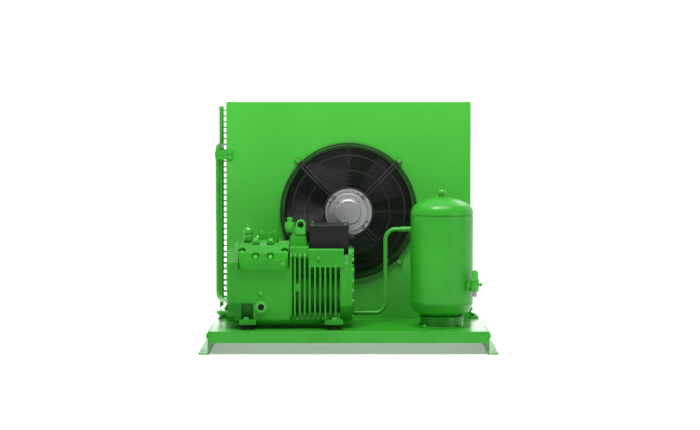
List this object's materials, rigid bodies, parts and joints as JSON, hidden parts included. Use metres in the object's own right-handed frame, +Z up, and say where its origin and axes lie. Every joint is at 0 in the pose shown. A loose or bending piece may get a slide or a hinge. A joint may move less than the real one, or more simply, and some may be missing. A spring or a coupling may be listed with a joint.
{
  "type": "refrigeration condensing unit",
  "caption": "Air-cooled condensing unit: semi-hermetic compressor, finned condenser with axial fan, upright liquid receiver and pipework on a folded steel base.",
  "frame": {"origin": "on the floor, under the middle of the unit", "axes": "+X along the front rail, -Y is the front, +Z up"},
  "size_m": [1.033, 0.76, 0.864],
  "materials": {
    "green_paint": "satin spray enamel on folded steel",
    "panel_paint": "satin spray enamel on flat sheet",
    "casting_paint": "spray enamel on sand-cast iron",
    "valve_paint": "spray enamel on machined brass and steel",
    "painted_steel": "spray enamel on screw heads",
    "painted_copper": "gloss spray enamel on drawn copper tube",
    "fin_foil": "aluminium foil fins with paint mist",
    "guard_wire": "black powder coat on wire",
    "blade_plastic": "black moulded plastic",
    "rotor_steel": "black dip coat",
    "motor_aluminium": "die-cast aluminium",
    "black_plastic": "moulded black plastic",
    "damper_rubber": "moulded black rubber",
    "glass": "dark glass over oil",
    "zinc_steel": "zinc plate",
    "bare_iron": "machined iron",
    "bearing_brass": "machined bearing metal",
    "piston_aluminium": "machined aluminium",
    "bare_copper": "bare drawn copper"
  },
  "bodies": {
    "frame": {"base_screws": "painted_steel", "base_tray": "green_paint", "bearing_cover": "casting_paint", "bell_mouth": "green_paint", "bracket_screws": "painted_steel", "cable_glands": "black_plastic", "clamp_screws": "painted_steel", "compressor_housing": "casting_paint", "cover_screws": "painted_steel", "crank_bearings": "bearing_brass", "dampers": "damper_rubber", "discharge_line": "painted_copper", "discharge_valve_body": "valve_paint", "discharge_valve_cap": "valve_paint", "fan_guard": "guard_wire", "fan_motor": "motor_aluminium", "fan_panel": "panel_paint", "fin_pack": "fin_foil", "foot_bolts": "painted_steel", "front_head": "casting_paint", "gas_header": "painted_copper", "guard_screws": "painted_steel", "head_screws": "painted_steel", "left_foot_bracket": "green_paint", "left_leg": "green_paint", "left_tube_sheet": "green_paint", "liquid_header": "painted_copper", "liquid_line": "painted_copper", "motor_cover": "casting_paint", "motor_stator": "bare_iron", "oil_plugs": "painted_steel", "outlet_stub": "bare_copper", "pipe_clamp": "green_paint", "pistons": "piston_aluminium", "rear_head": "casting_paint", "receiver_foot": "green_paint", "receiver_plug": "valve_paint", "receiver_screws": "painted_steel", "receiver_shell": "green_paint", "receiver_valve_body": "valve_paint", "receiver_valve_caps": "valve_paint", "return_bends": "painted_copper", "right_foot_bracket": "green_paint", "right_leg": "green_paint", "right_tube_sheet": "green_paint", "sight_glass": "glass", "sight_glass_ring": "painted_steel", "suction_valve_body": "valve_paint", "suction_valve_cap": "valve_paint", "terminal_box": "black_plastic", "terminal_cover": "black_plastic", "terminal_screws": "zinc_steel", "valve_plates": "casting_paint"},
    "fan": {"fan_rotor": "rotor_steel", "fan_impeller": "blade_plastic"},
    "crank": {"crankshaft": "bare_iron", "motor_rotor": "bare_iron"},
    "suction_spindle": {"suction_valve_spindle": "zinc_steel"},
    "discharge_spindle": {"discharge_valve_spindle": "zinc_steel"},
    "receiver_spindle": {"receiver_valve_spindle": "zinc_steel"}
  },
  "joints": [
    {"name": "fan_spin", "type": "hinge", "parent": "frame", "child": "fan", "pos_m": [0, 0.11, 0.47], "axis": [0, 1, 0], "continuous": true},
    {"name": "crank_spin", "type": "hinge", "parent": "frame", "child": "crank", "pos_m": [-0.2, -0.18, 0.205], "axis": [1, 0, 0], "continuous": true},
    {"name": "suction_spindle_turn", "type": "hinge", "parent": "frame", "child": "suction_spindle", "pos_m": [-0.2045, -0.215, 0.426], "axis": [0, 0, 1], "range_deg": [0, 1080]},
    {"name": "discharge_spindle_turn", "type": "hinge", "parent": "frame", "child": "discharge_spindle", "pos_m": [-0.352, -0.18, 0.393], "axis": [0, 0, 1], "range_deg": [0, 1080]},
    {"name": "receiver_spindle_turn", "type": "hinge", "parent": "frame", "child": "receiver_spindle", "pos_m": [0.43982, -0.25858, 0.23], "axis": [0, 0, 1], "range_deg": [0, 1080]}
  ]
}
